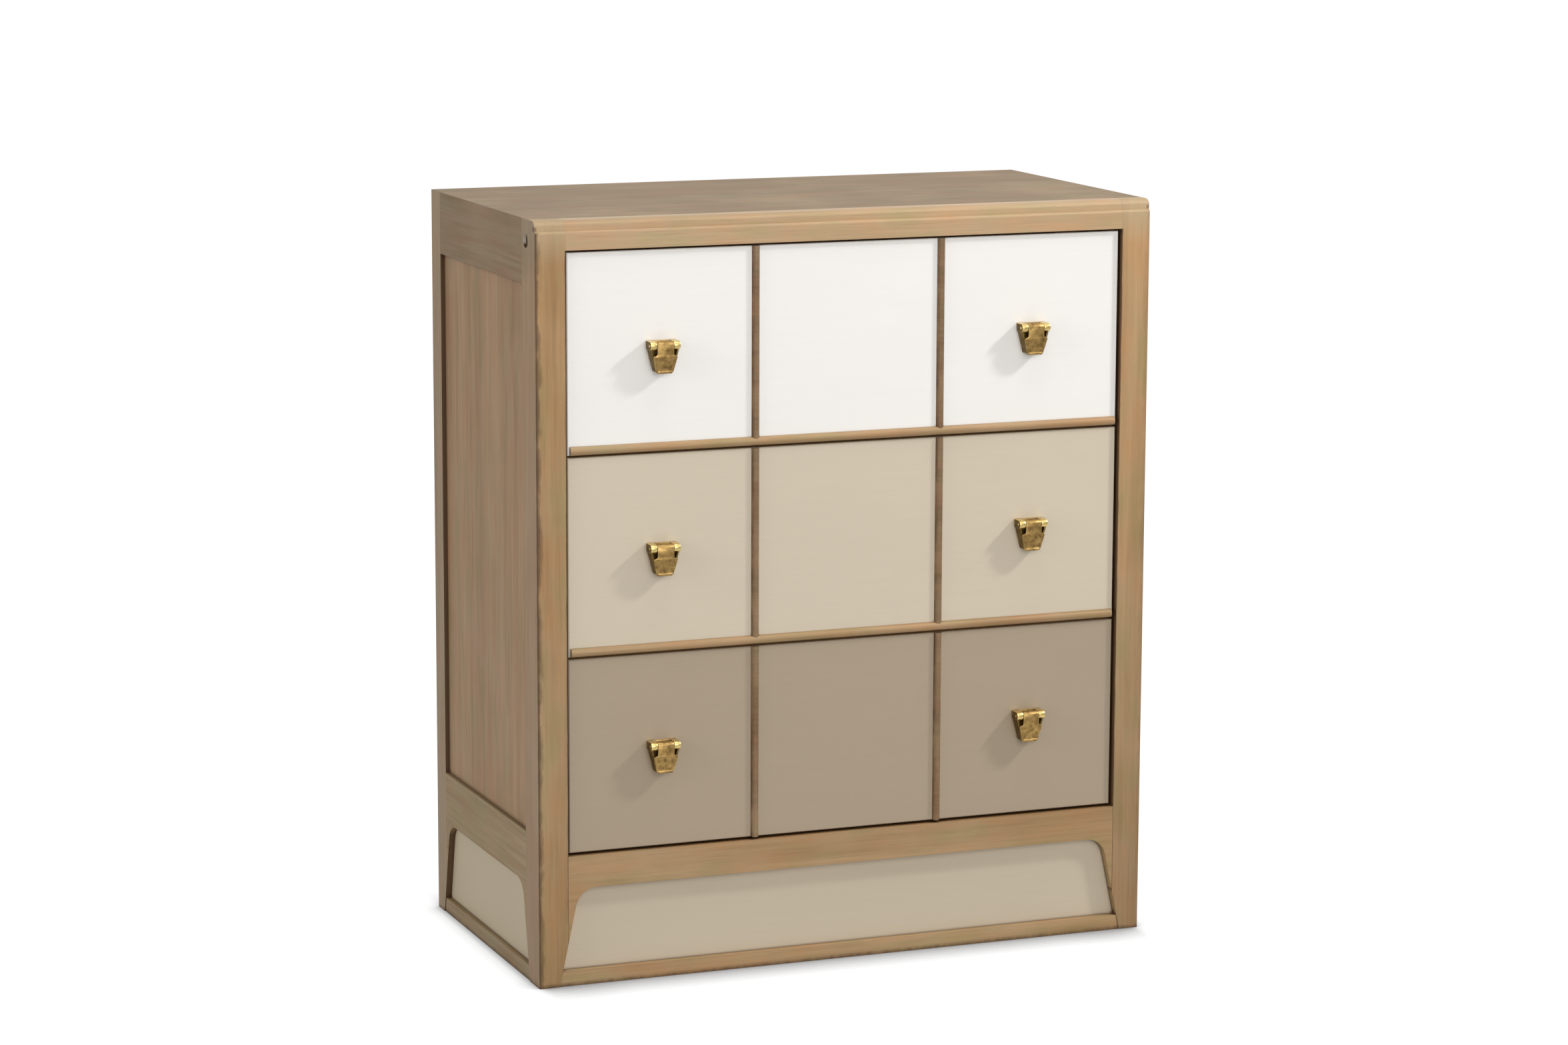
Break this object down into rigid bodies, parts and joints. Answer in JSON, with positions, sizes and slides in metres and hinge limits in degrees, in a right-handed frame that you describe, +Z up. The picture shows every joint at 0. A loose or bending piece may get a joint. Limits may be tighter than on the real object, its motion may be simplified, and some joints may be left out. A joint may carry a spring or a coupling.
{
  "type": "chest of drawers",
  "caption": "Floor-standing chest of inset drawers in a frame-and-panel wooden case with a moulded top edge, tapered feet, beaded lacquered fronts and hinged brass drop pulls.",
  "frame": {"origin": "on the floor under the middle of the chest's whole footprint, pulls included", "axes": "+Z up, -Y out of the drawer fronts, +X to the right for someone who faces them"},
  "size_m": [0.9, 0.4808, 1.045],
  "materials": {
    "frame_wood": "satin limed hardwood with dark glaze in the joints",
    "offwhite_lacquer": "satin brushed lacquer",
    "beige_lacquer": "satin brushed lacquer",
    "taupe_lacquer": "satin brushed lacquer",
    "drawer_wood": "clear matt lacquer",
    "plywood": "clear matt lacquer",
    "antique_brass": "antiqued, worn bright",
    "polished_brass": "polished"
  },
  "bodies": {
    "case": {"top_board": "frame_wood", "front_top_rail": "frame_wood", "front_apron": "frame_wood", "front_sole_strip": "frame_wood", "back_rail": "frame_wood", "post_plugs": "frame_wood", "front_left_post": "frame_wood", "back_left_post": "frame_wood", "left_top_rail": "frame_wood", "left_apron": "frame_wood", "left_side_panel": "frame_wood", "left_sole_strip": "frame_wood", "left_plinth_panel": "beige_lacquer", "left_runners": "drawer_wood", "front_right_post": "frame_wood", "back_right_post": "frame_wood", "right_top_rail": "frame_wood", "right_apron": "frame_wood", "right_side_panel": "frame_wood", "right_sole_strip": "frame_wood", "right_plinth_panel": "beige_lacquer", "right_runners": "drawer_wood", "front_plinth_panel": "beige_lacquer", "back_panel": "plywood", "bottom_board": "plywood"},
    "bottom_drawer": {"bottom_drawer_front": "taupe_lacquer", "bottom_drawer_left_side": "drawer_wood", "bottom_drawer_right_side": "drawer_wood", "bottom_drawer_back": "drawer_wood", "bottom_drawer_bottom": "plywood", "bottom_drawer_upright_beads": "frame_wood", "bottom_drawer_pull_brackets": "antique_brass", "bottom_drawer_pull_pins": "polished_brass", "bottom_drawer_pull_screws": "polished_brass"},
    "bottom_left_tongue": {"bottom_drawer_left_pull_tongue": "antique_brass"},
    "bottom_right_tongue": {"bottom_drawer_right_pull_tongue": "antique_brass"},
    "middle_drawer": {"middle_drawer_front": "beige_lacquer", "middle_drawer_left_side": "drawer_wood", "middle_drawer_right_side": "drawer_wood", "middle_drawer_back": "drawer_wood", "middle_drawer_bottom": "plywood", "middle_drawer_upright_beads": "frame_wood", "middle_drawer_pull_brackets": "antique_brass", "middle_drawer_pull_pins": "polished_brass", "middle_drawer_pull_screws": "polished_brass", "middle_drawer_lower_bead": "frame_wood"},
    "middle_left_tongue": {"middle_drawer_left_pull_tongue": "antique_brass"},
    "middle_right_tongue": {"middle_drawer_right_pull_tongue": "antique_brass"},
    "top_drawer": {"top_drawer_front": "offwhite_lacquer", "top_drawer_left_side": "drawer_wood", "top_drawer_right_side": "drawer_wood", "top_drawer_back": "drawer_wood", "top_drawer_bottom": "plywood", "top_drawer_upright_beads": "frame_wood", "top_drawer_pull_brackets": "antique_brass", "top_drawer_pull_pins": "polished_brass", "top_drawer_pull_screws": "polished_brass", "top_drawer_lower_bead": "frame_wood"},
    "top_left_tongue": {"top_drawer_left_pull_tongue": "antique_brass"},
    "top_right_tongue": {"top_drawer_right_pull_tongue": "antique_brass"}
  },
  "joints": [
    {"name": "bottom_drawer_slide", "type": "slide", "parent": "case", "child": "bottom_drawer", "axis": [0, -1, 0], "range_m": [0, 0.33]},
    {"name": "bottom_left_tongue_hinge", "type": "hinge", "parent": "bottom_drawer", "child": "bottom_left_tongue", "pos_m": [-0.272, -0.23463, 0.3265], "axis": [-1, 0, 0], "range_deg": [0, 95]},
    {"name": "bottom_right_tongue_hinge", "type": "hinge", "parent": "bottom_drawer", "child": "bottom_right_tongue", "pos_m": [0.272, -0.23463, 0.3265], "axis": [-1, 0, 0], "range_deg": [0, 95]},
    {"name": "middle_drawer_slide", "type": "slide", "parent": "case", "child": "middle_drawer", "axis": [0, -1, 0], "range_m": [0, 0.33]},
    {"name": "middle_left_tongue_hinge", "type": "hinge", "parent": "middle_drawer", "child": "middle_left_tongue", "pos_m": [-0.272, -0.23463, 0.599], "axis": [-1, 0, 0], "range_deg": [0, 95]},
    {"name": "middle_right_tongue_hinge", "type": "hinge", "parent": "middle_drawer", "child": "middle_right_tongue", "pos_m": [0.272, -0.23463, 0.599], "axis": [-1, 0, 0], "range_deg": [0, 95]},
    {"name": "top_drawer_slide", "type": "slide", "parent": "case", "child": "top_drawer", "axis": [0, -1, 0], "range_m": [0, 0.33]},
    {"name": "top_left_tongue_hinge", "type": "hinge", "parent": "top_drawer", "child": "top_left_tongue", "pos_m": [-0.272, -0.23463, 0.874], "axis": [-1, 0, 0], "range_deg": [0, 95]},
    {"name": "top_right_tongue_hinge", "type": "hinge", "parent": "top_drawer", "child": "top_right_tongue", "pos_m": [0.272, -0.23463, 0.874], "axis": [-1, 0, 0], "range_deg": [0, 95]}
  ]
}
